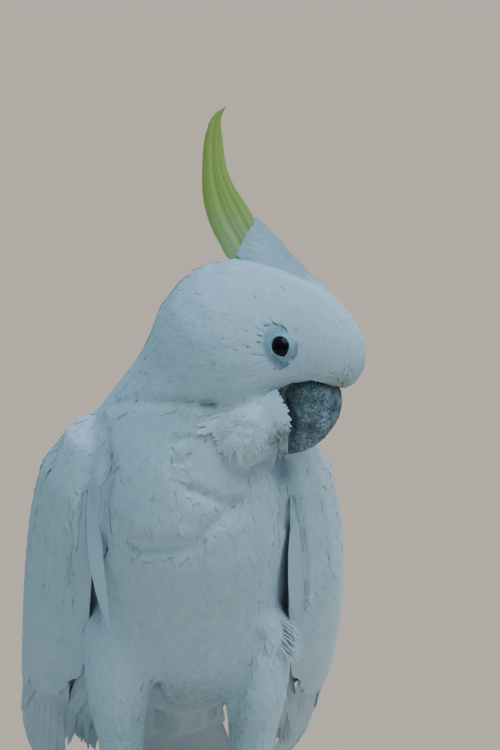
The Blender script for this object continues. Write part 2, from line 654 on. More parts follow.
LIE = [(in_head(place), HEAD_AXES @ np.array(way, float)) for place, way in [
    ([30, 0, 2], [-0.25, 0, 1]), ([24, 0, 20], [-0.7, 0, 0.75]), ([8, 0, 31], [-1, 0, 0.25]),
    ([-14, 0, 34], [-1, 0, 0.1]), ([-36, 0, 26], [-0.9, 0, -0.4]), ([-52, 0, 8], [-0.6, 0, -0.8]),
]]
for flank in (-1, 1):
    LIE += [(in_head([f, flank * l, u]), HEAD_AXES @ np.array([wf, flank * wl, wu], float))
            for (f, l, u), (wf, wl, wu) in [
        ((26, 14, -6), (-0.7, 0.4, 0.35)), ((18, 19, -12), (-0.9, 0.2, -0.1)),
        ((16, 20, 8), (-0.85, 0.1, 0.45)), ((0, 26, 14), (-1, 0.1, 0.3)),
        ((-10, 27, 2), (-1, 0, -0.1)), ((-22, 24, 12), (-1, 0, 0.0)),
        ((-24, 25, -6), (-0.9, 0, -0.45)), ((6, 26, -14), (-0.5, 0.1, -0.75)),
        ((-8, 26, -18), (-0.75, 0, -0.7)),
        ((18, 20, -26), (0.75, 0, -0.55)), ((20, 18, -34), (0.8, 0, -0.65)),
        ((12, 22, -38), (0.4, 0, -1)), ((4, 24, -34), (0.05, 0, -1)),
        ((0, 22, -46), (-0.1, 0, -1)), ((-10, 24, -38), (-0.45, 0, -0.85)),
        ((-22, 24, -30), (-0.8, 0, -0.7)),
    ]]
# Down the body, where (1, -1) gives a way for each flank.
BOTH, ONE = (1, -1), (1,)
LIE += [(np.array([x * flank, y, z], float), np.array([wx * flank, wy, wz], float))
        for flanks, (x, y, z), (wx, wy, wz) in [
    (ONE, (20, -62, 196), (-0.1, -0.1, -1)), (ONE, (0, -68, 180), (-0.05, -0.1, -1)),
    (ONE, (-24, -52, 205), (-0.35, 0, -1)), (ONE, (-36, -30, 222), (-0.6, 0.1, -0.8)),
    (ONE, (-36, -10, 205), (-0.4, 0.5, -0.8)), (ONE, (-10, 12, 232), (-0.3, 0.6, -0.75)),
    (ONE, (30, 6, 214), (0.1, 0.7, -0.7)), (ONE, (38, -40, 190), (0.1, 0.1, -1)),
    (ONE, (0, -70, 140), (0, 0, -1)), (BOTH, (34, -56, 150), (0.08, 0.05, -1)),
    (ONE, (0, -60, 100), (0, 0.25, -1)), (BOTH, (30, -46, 96), (-0.05, 0.2, -1)),
    (ONE, (0, -30, 66), (0, 0.75, -0.65)), (ONE, (0, 20, 52), (0, 1, -0.25)),
    (BOTH, (46, -10, 140), (0.1, 0.4, -0.9)), (BOTH, (44, 30, 110), (0, 0.7, -0.7)),
    (ONE, (0, 24, 200), (0, 0.75, -0.65)), (ONE, (0, 58, 150), (0, 0.75, -0.66)),
    (ONE, (0, 78, 100), (0, 0.85, -0.5)), (BOTH, (34, -22, 84), (0.0, -0.05, -1)),
    (BOTH, (30, -4, 44), (0, 0.3, -1)), (BOTH, (46, 0, 74), (0, 0.1, -1)),
    (BOTH, (54, -40, 204), (0.2, 0.2, -1)), (BOTH, (70, -20, 188), (0.05, 0.6, -0.8)),
    (BOTH, (66, -44, 176), (0, 0.3, -0.95)), (BOTH, (76, 0, 160), (0, 0.65, -0.75)),
    (BOTH, (50, 14, 196), (0.1, 0.8, -0.6)),
] for flank in flanks]
LIE_PLACES = np.array([place for place, _ in LIE])
LIE_WAYS = unit(np.array([way for _, way in LIE]))


def lie_of(places):
    """The way the feathers point at each place, blended from the ways known nearby."""
    apart = ((places[:, None] - LIE_PLACES[None]) ** 2).sum(-1) + 6
    return unit(((1 / apart ** 1.6)[..., None] * LIE_WAYS[None]).sum(1))


form_tree = BVHTree.FromPolygons(form_places.tolist(), form_faces.tolist())
face_normals = unit(form_normals[form_faces].sum(1))
bill_halves = [bpy.data.objects[f"bill_{part}_horn"] for part in ("upper", "lower")]
bill_places = [places_of(piece) for piece in bill_halves]
bill_faces = [triangles_of(piece) for piece in bill_halves]
bill_faces[1] += len(bill_places[0])
bill_tree = BVHTree.FromPolygons(np.concatenate(bill_places).tolist(), np.concatenate(bill_faces).tolist())
skin_tree = BVHTree.FromPolygons(places_of(skin).tolist(), triangles_of(skin).tolist())
skin_unwrap = values_of(skin.data.uv_layers["OFBake"].data, "uv", 2)
skin_beds = skin_unwrap[triangles_of(skin, "loops")].mean(1)


def settle(places):
    """The nearest places on the plumage's form, and which way is out there."""
    found = [form_tree.find_nearest(place) for place in places.tolist()]
    return np.array([hit[0] for hit in found]), face_normals[[hit[2] for hit in found]]


def bed_of(places):
    """Where on the skin's unwrap each feather is rooted."""
    return skin_beds[[skin_tree.find_nearest(place)[2] for place in places.tolist()]]


PATCH = 0.003  # each feather's share of the map is a patch of this size at its root
CREASE_ANGLE = 30


def vanes(name, finish, grid, normals, shares, columns, length, half, thick, bed, seed):
    """One joined mesh of closed thin feathers. grid holds each one's upper side, root to tip by
    left to right; a keel under its middle closes it. bed is its root on the skin's unwrap, or
    None where the feathers lie side by side over the whole map."""
    count, rows, cols = grid.shape[:3]
    depth = thick * np.array([0.5] + [1.0] * (rows - 2) + [0.35])
    keel = grid[:, :, cols // 2] - normals * depth[:, None]
    rings = np.concatenate([grid, keel[:, :, None]], axis=2)
    ring = cols + 1
    k, r = np.meshgrid(np.arange(rows - 1), np.arange(ring), indexing="ij")
    side_faces = np.stack([k * ring + r, (k + 1) * ring + r, (k + 1) * ring + (r + 1) % ring,
                           k * ring + (r + 1) % ring], -1).reshape(-1, 4)
    last = (rows - 1) * ring
    halves = [(i, i + 1, i + 2, cols) for i in range(0, cols - 2, 2)]
    caps = [list(h) for h in halves] + [[last + i for i in h[::-1]] for h in halves]
    pattern = np.concatenate([side_faces, np.array(caps)])
    faces = (pattern[None] + (np.arange(count) * rows * ring)[:, None, None]).reshape(-1, 4)
    piece = piece_of(name, rings.reshape(-1, 3), faces)
    corner = values_of(piece.data.loops, "vertex_index", 1, np.int32)[:, 0]
    across = np.append(columns, 0.0)
    barbs = np.stack(np.broadcast_arrays(
        across[None, None] * half[:, :, None] / 10, (shares[None, :] * length[:, None])[..., None] / 10), -1)
    if bed is None:
        bed = np.stack([(np.arange(count) + 0.5) / count, np.full(count, 0.5)], -1)
        patch = (0.9 / count, 0.96)
    else:
        patch = (PATCH, PATCH)
    spread = np.stack(np.broadcast_arrays(across[None] * patch[0] / 2,
                                          (shares[:, None] - 0.5) * patch[1]), -1)
    baked = bed[:, None, None] + spread[None]
    for layer, values in (("OFBake", baked), ("barbs", barbs)):
        flat = values.reshape(-1, 2)[corner]
        piece.data.uv_layers.new(name=layer).data.foreach_set("uv", flat.ravel().astype(np.float32))
    keep_on(piece, "tint", np.repeat(np.random.default_rng(seed).random(count), rows * ring))
    keep_on(piece, "share", np.broadcast_to(shares[None, :, None], (count, rows, ring)).ravel())
    alone(piece)
    bpy.ops.object.shade_smooth_by_angle(angle=math.radians(CREASE_ANGLE))
    piece.data.materials.append(finish)
    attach(piece, "root")
    return piece


def plumage_finish(name, light, shade, root, barb=1.1, relief=0.5, fibre=0.0):
    """Feather keratin: matt and softly fibrous. Barbs slant forward from the shaft; real ones
    are about 0.2 mm apart and are drawn as coarse as they need to show. Down (fibre above 0)
    has loose barbs that fan out from the root instead."""
    material, tree, shader = new_finish(name, Roughness=0.85, Specular_IOR_Level=0.2, Sheen_Weight=0.2,
                                        Sheen_Roughness=0.5)
    lay = node(tree, "UVMap", {}, uv_map="barbs")
    side = node(tree, "SeparateXYZ", {0: lay})
    forth = side.node.outputs[1]
    out = node(tree, "Math", {0: side}, operation="ABSOLUTE")
    tint = node(tree, "Attribute", {}, "Fac", attribute_name="tint")
    share = node(tree, "Attribute", {}, "Fac", attribute_name="share")
    if fibre:
        spread = node(tree, "Math", {0: share, 1: 0.7, 2: 0.5}, operation="MULTIPLY_ADD")
        fan = node(tree, "Math", {0: side, 1: spread}, operation="DIVIDE")
        strand = node(tree, "CombineXYZ", {
            axis: node(tree, "Math", {0: value, 1: scale}, operation="MULTIPLY")
            for axis, (value, scale) in enumerate(((fan, 26.0), (forth, 2.2), (tint, 40.0)))})
        barbs = node(tree, "TexNoise", {"Vector": strand, "Scale": 1.0, "Detail": 3.0, "Roughness": 0.6})
        height = node(tree, "Math", {0: barbs, 1: fibre}, operation="MULTIPLY")
        streak = node(tree, "Math", {0: barbs, 1: 0.9, 2: -0.3}, operation="MULTIPLY_ADD")
    else:
        back = node(tree, "Math", {0: out, 1: 1.5}, operation="MULTIPLY")
        slant = node(tree, "Math", {0: forth, 1: back}, operation="SUBTRACT")
        ragged = node(tree, "TexNoise", {"Vector": lay, "Scale": 5.0, "Detail": 2.0})
        ragged = node(tree, "Math", {0: ragged, 1: 0.12}, operation="MULTIPLY")
        slant = node(tree, "Math", {0: slant, 1: ragged}, operation="ADD")
        turns = node(tree, "Math", {0: slant, 1: 2 * math.pi * 10 / barb}, operation="MULTIPLY")
        barbs = node(tree, "Math", {0: turns}, operation="SINE")
        shaft = node(tree, "MapRange", {0: out, 1: 0.02, 2: 0.06, 3: 1.0, 4: 0.0})
        shaft = node(tree, "Math", {0: shaft, 1: 0.5}, operation="MULTIPLY")
        height = node(tree, "Math", {0: barbs, 1: 0.35, 2: shaft}, operation="MULTIPLY_ADD")
        streak = node(tree, "Math", {0: barbs, 1: 0.06, 2: 0.12}, operation="MULTIPLY_ADD")
    colour = node(tree, "Mix", {0: tint, 6: paint(light), 7: paint(shade)}, 2, data_type="RGBA")
    down = node(tree, "MapRange", {0: share, 1: 0.0, 2: 0.55, 3: 0.7, 4: 0.0})
    colour = node(tree, "Mix", {0: down, 6: colour, 7: paint(root)}, 2, data_type="RGBA")
    colour = node(tree, "Mix", {0: streak, 6: colour, 7: paint(shade)}, 2, data_type="RGBA",
                  blend_type="MULTIPLY")
    finished(tree, shader, marked(tree, colour), height, strength=relief, depth=0.3)
    return material


white_down = plumage_finish("powdery_white_plumage", "#e9f0f4", "#dde7ed", "#d9e4ea", fibre=1.0, relief=0.4)
jaw_down = plumage_finish("soft_white_jaw_down", "#fbfdfe", "#f3f8fa", "#f2f6f8", fibre=0.6, relief=0.15)
white_vane = plumage_finish("white_flight_vane", "#e6eef3", "#dae5ec", "#d6e1e8", barb=1.0, relief=0.35)
sulphur_vane = plumage_finish("sulphur_yellow_vane", "#d6dc78", "#c2cc5c", "#dfe6c4", barb=1.2, relief=0.4)


# The contour feathers' spacing, length and half width, by how far they grow from the face. On
# the legs each is less by the share that stands last.
COAT_AWAY = [18, 30, 50, 80, 130, 200]
COAT_SIZES = [([1.0, 1.2, 1.65, 2.3, 2.7, 2.9], 0.28),
              ([4.5, 6.5, 9.5, 13.0, 17.0, 18.0], 0.35),
              ([1.0, 1.2, 1.75, 2.3, 2.8, 2.9], 0.35)]
LEG_ASIDE = 34


def coat_sizes(places):
    """Spacing, length and half width of the feathers that grow at each place."""
    away = np.linalg.norm(places - FACE, axis=1)
    from_leg = np.abs(np.abs(places[:, 0]) - LEG_ASIDE)
    leg = (1 - ramp(16, 24, from_leg)) * (1 - ramp(88, 110, places[:, 2]))
    return [along(list(zip(COAT_AWAY, sizes)), away) * (1 - less * leg) for sizes, less in COAT_SIZES]


CELL = 2.2  # side of the boxes that roots are sorted into, to find near ones fast


def rooted(seed):
    """Evenly scattered roots over the whole form, closer together where feathers are small."""
    chance = np.random.default_rng(seed)
    a, b, c = (form_places[form_faces[:, i]] for i in range(3))
    area = np.linalg.norm(np.cross(b - a, c - a), axis=1) / 2
    odds = area / coat_sizes((a + b + c) / 3)[0] ** 2
    pick = chance.choice(len(area), size=int(odds.sum() * 3.6), p=odds / odds.sum())
    u, v = chance.random(len(pick)), chance.random(len(pick))
    flip = u + v > 1
    u, v = np.where(flip, 1 - u, u), np.where(flip, 1 - v, v)
    spots = a[pick] + u[:, None] * (b - a)[pick] + v[:, None] * (c - a)[pick]
    needs = coat_sizes(spots)[0] * 0.86
    taken, kept = {}, []
    for i, (spot, need) in enumerate(zip(spots.tolist(), needs.tolist())):
        box = [int(q // CELL) for q in spot]
        near = int(need // CELL) + 1
        boxes = product(*(range(q - near, q + near + 1) for q in box))
        if not any((spot[0] - x) ** 2 + (spot[1] - y) ** 2 + (spot[2] - z) ** 2 < need * need
                   for key in boxes for x, y, z in taken.get(key, ())):
            taken.setdefault(tuple(box), []).append(spot)
            kept.append(i)
    return spots[kept]


SWAY = 7  # degrees that a feather may turn from the lie of the coat
BEND = 40  # radius that a feather is curved to across its width
RUFF_LIFT = 0.25


def lay(name, finish, roots, length, half, lift, seed, shares, columns, profile, fringe):
    """Lays feathers over the form from their roots: each follows the lie of the coat and rises
    from the skin to just over the form. One that would jump across a crease is tried again at
    half its length, or left out."""
    chance = np.random.default_rng(seed)
    count = len(roots)
    length = length * chance.uniform(0.86, 1.14, count)
    sway = np.radians(chance.normal(0, SWAY, count))
    lift = lift * chance.uniform(0.4, 1.5, count) + RUFF_LIFT * ruffed(roots)
    sink = coat_depth(roots)
    grid = np.empty((count, len(shares), len(columns), 3))
    normals = np.empty((count, len(shares), 3))
    ragged = chance.uniform(0.5, 1.5, (count, len(columns), 1)) * np.array(fringe)[None, :, None]
    whose = np.arange(count)  # the feathers still to be laid
    for attempt in (1.0, 0.5):
        length[whose] *= attempt
        long, wide, turn = length[whose], half[whose], sway[whose, None]
        here, last_up = roots[whose], settle(roots[whose])[1]
        sound = np.ones(len(whose), bool)
        for k, share in enumerate(shares):
            guess = here
            here, up = settle(guess)
            slip = np.linalg.norm(here - guess, axis=1)
            sound &= (slip < 0.18 * long + (k == 0)) & ((up * last_up).sum(1) > 0.72)
            last_up = up
            ahead = lie_of(here)
            ahead = ahead * np.cos(turn) + np.cross(up, ahead) * np.sin(turn)
            ahead = unit(ahead - up * (ahead * up).sum(1)[:, None])
            side = np.cross(up, ahead)
            height = -sink[whose] * (1 - share) ** 5 + lift[whose] * share
            for j, column in enumerate(columns):
                out = column * wide * profile[k]
                drop = out ** 2 / (2 * BEND) + 0.05 * column ** 2
                grid[whose, k, j] = here + side * out[:, None] + up * (height - drop)[:, None]
            normals[whose, k] = up
            if k < len(shares) - 1:
                here = here + ahead * (long * (shares[k + 1] - share))[:, None]
        grid[whose, -1] += ahead[:, None] * ragged[whose] * long[:, None, None]
        whose = whose[~sound]
        if not len(whose):
            break
    kept = np.setdiff1d(np.arange(count), whose)
    wide = half[kept, None] * np.array(profile)[None]
    return vanes(name, finish, grid[kept], normals[kept], shares, columns, length[kept], wide, 0.12,
                 bed=bed_of(roots[kept]), seed=seed)


# Roots keep clear of the bill, of the bare rings and of the wings past their shoulders.
BILL_ROOM, BILL_AHEAD = 0.75, 9.0
SHOULDER_SHARE = np.array([0.15])
ARM_INSIDE, ARM_COATED = 54, 18
LEG_END = 25
roots = rooted(11)
_, outward = settle(roots)
clear_of_bill = np.array([bill_tree.ray_cast(Vector(p), Vector(n), BILL_AHEAD)[0] is None and
                          bill_tree.find_nearest(Vector(p))[3] > BILL_ROOM
                          for p, n in zip((roots + outward * 0.2).tolist(), outward.tolist())])
past_shoulder = (roots - bend_of(WING_LINE, SHOULDER_SHARE)[0]) @ heading_of(WING_LINE, SHOULDER_SHARE)[0]
on_wing_feathers = (np.abs(roots[:, 0]) > ARM_INSIDE) & (past_shoulder > ARM_COATED)
roots = roots[clear_of_bill & (bareness(roots) < 0.5) & (roots[:, 2] > LEG_END) & ~on_wing_feathers]
_, length, half = coat_sizes(roots)
CONTOUR = dict(shares=np.array([0, 0.3, 0.62, 0.86, 1.0]), columns=np.array([-1.0, -0.5, 0, 0.5, 1.0]),
               profile=[0.6, 0.9, 1.0, 0.74, 0.34], fringe=[-0.04, 0.03, -0.02, 0.05, -0.04])
FACE_REACH, TRUNK_HALF = 44, 46
THROAT, WAIST = 196, 118  # heights
x, y, z = roots.T
beyond = np.linalg.norm(roots - FACE, axis=1) >= FACE_REACH
within = np.abs(x) < TRUNK_HALF
tracts = {  # which roots belong to each piece, and how high its feathers' tips stand off
    "coat_face": (~beyond, 0.05),
    "coat_neck": (beyond & (z > THROAT) & within, 0.07),
    "coat_shoulder_left": (beyond & (x >= TRUNK_HALF) & (z > WAIST), 0.04),
    "coat_shoulder_right": (beyond & (x <= -TRUNK_HALF) & (z > WAIST), 0.04),
    "coat_breast": (beyond & (z <= THROAT) & (z > WAIST) & (y < -10) & within, 0.12),
    "coat_belly": (beyond & (z <= WAIST) & (y < 12), 0.16),
}
tracts["coat_back"] = (~np.any([chosen for chosen, _ in tracts.values()], axis=0), 0.14)
for number, (name, (chosen, lift)) in enumerate(tracts.items()):
    piece = lay(name, white_down, roots[chosen], length[chosen], half[chosen], lift, 20 + number, **CONTOUR)


def ribbons(name, finish, line, up, half, shares, thick, seed, arch=0.12, fringe=0.0, strips=False):
    """Feathers along given middle lines, each row of them with the way out and a half width."""
    columns = np.array([-1.0, -0.5, 0, 0.5, 1.0])
    ahead = unit(np.gradient(line, axis=1))
    side = unit(np.cross(up, ahead))
    up = np.cross(ahead, side)
    wide = half[:, :, None] * columns
    grid = line[:, :, None] + side[:, :, None] * wide[..., None] \
        - up[:, :, None] * (arch * half[:, :, None] * columns ** 2)[..., None]
    uneven = np.random.default_rng(seed).uniform(0.3, 1.5, (len(line), 5)) * [-1, 1, -1, 1, -1]
    grid[:, -1] += ahead[:, -1, None] * (uneven * fringe)[..., None]
    length = np.linalg.norm(np.diff(line, axis=1), axis=2).sum(1)
    bed = None if strips else bed_of(line[:, 0])
    piece = vanes(name, finish, grid, up, shares, columns, length, half, thick, bed=bed, seed=seed)
    return piece


# The jaw tuft: each cheek's feathers spread like a fan from behind the gape over the jaw and
# the foot of the bill, in soft lobes with ragged edges. Heart and edge are (front, up) on the
# head; each layer starts and stops at shares of the way to the edge, its feathers so far apart.
FAN_HEART = np.array([3.4, -27.5])
FAN_EDGE = np.array([(-19.5, -52.3), (-9.9, -49.1), (-4.7, -55.3), (3.6, -56.9), (8.4, -55.9),
                     (10.0, -53.8), (13.8, -47.3), (17.3, -41.4), (17.2, -38.1), (19.1, -37.5),
                     (21.6, -35.2), (19.4, -29.3), (16.6, -25.0), (13.2, -22.6), (7.4, -18.8)])
FAN_PARTINGS = np.radians([-44, -16, 3, 15, 50, 104, 160])
FAN_LAYERS = [(0.4, 1.0, 0.5), (0.34, 0.91, 0.55), (0.27, 0.8, 0.6), (0.2, 0.69, 0.65),
              (0.12, 0.57, 0.7), (0.05, 0.45, 0.75), (0.0, 0.33, 0.8)]
FAN_SWELL = 1.7
ASIDE = 60  # where the rays start that find the cheek
jaw_edge = FAN_EDGE - FAN_HEART
jaw_bearing = np.arctan2(jaw_edge[:, 0], -jaw_edge[:, 1])
jaw_reach = np.linalg.norm(jaw_edge, axis=1)
inward = Vector(HEAD_AXES[:, 1])  # both cheeks are measured on the right, clear of the shoulder
for flank, word in ((1, "left"), (-1, "right")):
    chance = np.random.default_rng(60 + flank)
    shares = np.array([0, 0.2, 0.42, 0.64, 0.82, 0.94, 1.0])
    bearing, start, stop, level = [], [], [], []
    for layer, (first, last, apart) in enumerate(FAN_LAYERS):
        toward = jaw_bearing[0]
        while toward < jaw_bearing[-1]:
            reach = np.interp(toward, jaw_bearing, jaw_reach)
            bearing.append(toward + chance.normal(0, 0.03))
            start.append(first * reach * chance.uniform(0.85, 1.1))
            stop.append(last * reach * chance.uniform(0.9, 1.05))
            level.append(0.09 * layer)
            toward += apart / (last * reach) * chance.uniform(0.8, 1.2)
    bearing, start, stop, level = (np.array(v) for v in (bearing, start, stop, level))
    away = start[:, None] + (stop - start)[:, None] * shares
    turn = bearing[:, None] + chance.normal(0, 0.06, len(bearing))[:, None] * np.sin(shares * math.pi)
    front, rise = FAN_HEART[0] + away * np.sin(turn), FAN_HEART[1] - away * np.cos(turn)
    out = np.empty_like(front)
    for k in range(len(shares)):
        for i in range(len(front)):
            ray_start = Vector(in_head([front[i, k], -ASIDE, rise[i, k]]))
            hits = [tree.ray_cast(ray_start, inward)[3] for tree in (form_tree, bill_tree)]
            found = [ASIDE - distance for distance in hits if distance is not None]
            out[i, k] = max(found) if found else -99
        if k:
            out[:, k] = np.maximum(out[:, k], out[:, k - 1] - 0.5 * (away[:, k] - away[:, k - 1]))
    lobe = np.clip(np.searchsorted(FAN_PARTINGS, bearing) - 1, 0, len(FAN_PARTINGS) - 2)
    middle = (FAN_PARTINGS[lobe] + FAN_PARTINGS[lobe + 1]) / 2
    swell = 1 - ((bearing - middle) / ((FAN_PARTINGS[lobe + 1] - FAN_PARTINGS[lobe]) / 2)) ** 2
    puff = FAN_SWELL * swell * (stop / np.interp(bearing, jaw_bearing, jaw_reach))
    out += (level + 0.2)[:, None] - 1.1 * (1 - shares) ** 3 + np.outer(
        puff + chance.uniform(0, 0.06, len(bearing)), shares ** 1.5)
    line = in_head(np.stack([front, flank * out, rise], -1))
    up = np.broadcast_to(HEAD_AXES[:, 1] * flank, line.shape)
    half = np.outer(chance.uniform(0.9, 1.4, len(bearing)), [0.8, 1.0, 1.0, 0.9, 0.7, 0.42, 0.1])
    ribbons(f"jaw_tuft_{word}", jaw_down, line, up, half, shares, arch=0.05,
            thick=0.1, fringe=0.1, seed=62 + flank)

# Feathers that hang loose: two narrow ones from the right shoulder over the gap beside the
# flank, bristly ones that stand off the front of the left thigh, and soft plumes that fill the
# gap between each flank and its wing.
shares = np.linspace(0, 1, 9)
lines, halves = [], []
for lead, drop, wide in ((0.0, 0.0, 3.6), (2.0, 20.0, 3.0)):
    z = np.linspace(178, 106 + drop, 9)
    x = -np.interp(z, [106, 118, 140, 165, 186], [38.2, 41.4, 45.4, 47.0, 46.4]) + lead * shares
    y = settle(np.stack([x + 4, np.full(9, -40.0), z], -1))[0][:, 1]
    lines.append(np.stack([x, y + 1.0 + 0.5 * lead, z], -1))
    halves.append(wide * np.array([0.5, 0.75, 0.9, 1, 1, 0.95, 0.8, 0.5, 0.08]))
lines = np.array(lines)
up = np.broadcast_to(unit(np.array([-0.5, -1.0, 0.1])), lines.shape)
ribbons("loose_right", white_down, lines, up, np.array(halves), shares, thick=0.25, seed=72)


def scattered(chance, count, *spans):
    """Random places, with each of their measures between the two given for it."""
    return np.stack([chance.uniform(low, high, count) for low, high in spans], -1)


FRINGE, PLUMES = 130, 60  # how many feathers each has
chance = np.random.default_rng(71)
foot, out = settle(scattered(chance, FRINGE, (47, 56), (-24, -10), (92, 114)))
shares = np.linspace(0, 1, 5)
way = unit(np.array([0.8, -0.35, -0.55]) + chance.normal(0, 0.12, (FRINGE, 3)))
long = chance.uniform(4, 7.5, FRINGE)[:, None, None]
droop = np.array([0, 0, -1.0]) * (shares ** 2)[None, :, None] * long * 0.2
line = foot[:, None] + way[:, None] * long * shares[None, :, None] \
    + out[:, None] * 0.5 * np.sin(shares * 2.2)[None, :, None] + droop
half = np.outer(chance.uniform(0.3, 0.55, FRINGE), [0.9, 1, 0.85, 0.5, 0.1])
up = np.repeat(out[:, None], len(shares), 1)
ribbons("thigh_fringe_left", white_down, line, up, half, shares, thick=0.1, seed=74)

for flank, word in ((1, "left"), (-1, "right")):
    root, out = settle(scattered(chance, PLUMES, (34, 46), (22, 44), (84, 112)) * [flank, 1, 1])
    tip = scattered(chance, PLUMES, (36, 57), (58, 82), (43, 64)) * [flank, 1, 1]
    shares = np.linspace(0, 1, 6)
    line = root[:, None] * (1 - shares)[:, None] + tip[:, None] * shares[:, None] \
        + out[:, None] * (3.0 * np.sin(shares * math.pi))[:, None]
    half = np.outer(chance.uniform(2.8, 3.8, PLUMES), [0.7, 1.0, 1.0, 0.9, 0.65, 0.15])
    facing = np.broadcast_to(unit(np.array([0.35 * flank, -0.75, -0.5])), line.shape)
    ribbons(f"flank_plumes_{word}", white_down, line, facing, half, shares, thick=0.14, fringe=0.5,
            seed=76 + flank)

bpy.data.objects.remove(form)

# ---- Wings ----------------------------------------------------------------------------------
# Each folded wing shows stiff flight feathers at its edge, the secondaries lying over the
# primaries, under rows of coverts that get smaller towards the bend.


def wing_normals(side, length, across):
    run = on_wing(side, length + 1.0, across, 0) - on_wing(side, length - 1.0, across, 0)
    rise = on_wing(side, length, across + 0.5, 0) - on_wing(side, length, across - 0.5, 0)
    return unit(np.cross(run, rise)) * side


def from_ends(start, stop, half, profile, shares):
    """Feathers given by their two ends: how long each is, its way, its middle and half widths."""
    start, stop, half = (np.asarray(v, float) for v in (start, stop, half))
    run = stop - start
    reach = np.linalg.norm(run, axis=1)
    spot = start[:, None] + run[:, None] * shares[None, :, None]
    return reach, run / reach[:, None], spot, half[:, None] * np.array(profile)[None]


def wing_vanes(name, finish, side, start, stop, half, height, thick, arch, seed, shares, columns, profile,
               fringe=0.0, splay=0.0, inside=False, quills=False, edge_room=0.0):
    """Feathers on a wing, each from one (length, across) place to another on its surface. All
    but the long quills stay within the wing's edge."""
    chance = np.random.default_rng(seed)
    reach, way, spot, wide = from_ends(start, stop, half, profile, shares)
    count = len(reach)
    spot[..., 1] += splay * np.sin(shares * math.pi)[None]
    hand = -side if inside else side
    height = np.broadcast_to(height, (count, len(shares)))
    grid = np.empty((count, len(shares), len(columns), 3))
    for j, column in enumerate(columns):
        off = hand * column * wide
        length = spot[..., 0] - way[:, None, 1] * off
        across = spot[..., 1] + way[:, None, 0] * off
        if not quills:
            share = np.clip(length / WING_LENGTH, 0, 1)
            limit = np.where(across > 0, along(WING_RISE, share), along(WING_DROP, share))
            over = np.maximum(0, np.abs(across) / limit - 0.96)
            room = np.maximum(edge_room, 0.06 + 0.14 * ramp(50, 110, length))
            across = across - np.sign(across) * limit * (over - room * np.tanh(over / room))
        out = wing_normals(side, length, across)
        level = height - arch * column ** 2
        if inside:
            level = level - 1.2 - along(WING_THICK, np.clip(length / WING_LENGTH, 0, 1))
        grid[:, :, j] = on_wing(side, length, across, 0) + out * level[..., None]
    normals = wing_normals(side, spot[..., 0], spot[..., 1]) * (-1 if inside else 1)
    ahead = unit(grid[:, -1, len(columns) // 2] - grid[:, -2, len(columns) // 2])
    ragged = np.where(np.arange(len(columns)) % 2, 1, -1) * fringe
    ragged = ragged[None, :] * chance.uniform(0.4, 1.4, (count, len(columns)))
    grid[:, -1] += ahead[:, None] * ragged[..., None]
    bed = None if quills else bed_of(grid[:, 0, len(columns) // 2])
    return vanes(name, finish, grid, normals, shares, columns, reach, wide, thick, bed=bed, seed=seed)


# How far along the wing the coverts may reach, by the way across it.
COVERTS_ACROSS = [-45, -36, -28, -10, 10, 30]
COVERTS_END = [126, 142, 160, 178, 190, 182]


def covert_rows(first, last, seed, shrink=1.0):
    """Staggered rows of coverts, from the bend of the wing outward: start, stop, half width."""
    chance = np.random.default_rng(seed)
    start, stop, half = [], [], []
    length, row = first, 0
    while length < last:
        share = max(0, length) / WING_LENGTH
        drop, rise = along(WING_DROP, share), along(WING_RISE, share)
        gap = (5.0 + 0.035 * length) * shrink
        across = -1.16 * drop + (row % 2) * gap / 2
        while across < 1.12 * rise:
            long = (15 + 0.22 * length) * chance.uniform(0.92, 1.08)
            if length + long > np.interp(across, COVERTS_ACROSS, COVERTS_END):
                across += gap
                continue
            lean = -0.05 - (0.10 * across / rise if across > 0 else 0.06 * across / drop)
            start.append((length + chance.uniform(-1, 1), across + chance.uniform(-0.6, 0.6)))
            stop.append((start[-1][0] + long, start[-1][1] + lean * long))
            half.append(gap * 0.98)
            across += gap
        length += 3.6 + 0.045 * length
        row += 1
    return start, stop, half


QUILL = dict(shares=np.linspace(0, 1, 11), columns=np.array([-1.0, -0.5, 0, 0.5, 1.0]),
             profile=[0.25, 0.6, 0.85, 0.97, 1, 1, 0.98, 0.92, 0.8, 0.56, 0.16])
COVERT = dict(shares=np.array([0, 0.28, 0.52, 0.72, 0.87, 0.96, 1.0]),
              columns=np.array([-1.0, -0.5, 0, 0.5, 1.0]),
              profile=[0.4, 0.8, 0.98, 1.0, 0.8, 0.52, 0.22])
QUILL_THICK, ALULA_THICK, COVERT_THICK = 0.5, 0.4, 0.16
